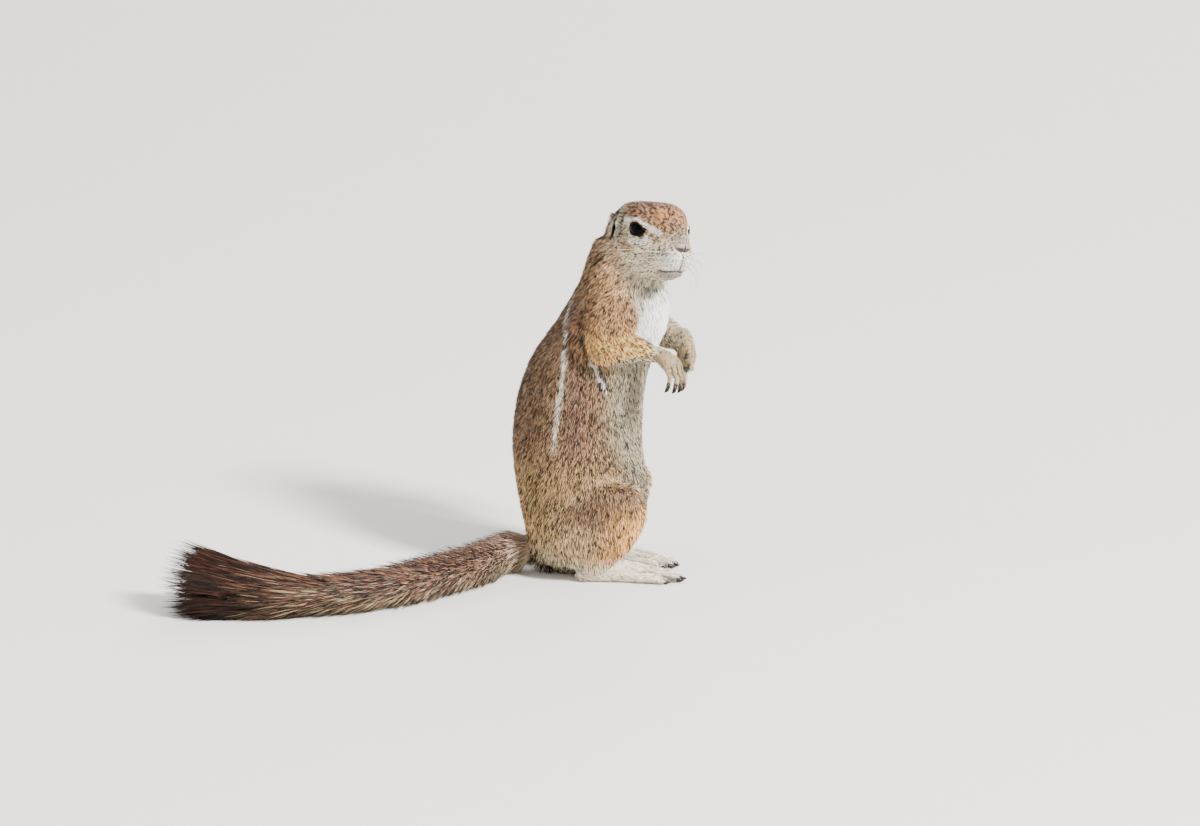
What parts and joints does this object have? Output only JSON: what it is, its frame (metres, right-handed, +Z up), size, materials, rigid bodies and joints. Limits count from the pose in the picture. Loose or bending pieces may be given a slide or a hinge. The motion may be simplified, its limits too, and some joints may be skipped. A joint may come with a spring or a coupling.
{
  "type": "cape ground squirrel",
  "caption": "Life-size Cape ground squirrel sitting up on its haunches, head turned to its right, hands held in front of the chest and bushy tail laid along the floor.",
  "frame": {"origin": "middle of the small flat under the rump, on the floor the animal sits on", "axes": "+X forward, the way the body faces; +Y to the animal's left; +Z up"},
  "size_m": [0.3174, 0.1851, 0.2311],
  "materials": {
    "back_fur": "short dense fur",
    "limb_fur": "short dense fur",
    "chest_fur": "soft pale fur",
    "face_fur": "very short fur",
    "foot_fur": "very short fur",
    "tail_fur": "long bushy hair",
    "nose_skin": "bare moist skin",
    "eye": "wet gloss"
  },
  "bodies": {
    "root": {"head": "face_fur", "nose": "nose_skin", "eye_right": "eye", "eye_left": "eye", "ear_right": "face_fur", "ear_left": "face_fur", "thigh_right": "back_fur", "shank_right": "limb_fur", "foot_right": "foot_fur", "upper_arm_right": "limb_fur", "forearm_right": "limb_fur", "hand_right": "foot_fur", "thigh_left": "back_fur", "shank_left": "limb_fur", "foot_left": "foot_fur", "upper_arm_left": "limb_fur", "forearm_left": "limb_fur", "hand_left": "foot_fur", "rump": "back_fur", "belly": "back_fur", "chest": "chest_fur", "neck": "back_fur", "tail_root": "tail_fur", "tail_middle": "tail_fur", "tail_end": "tail_fur", "tail_brush": "tail_fur"}
  },
  "joints": []
}
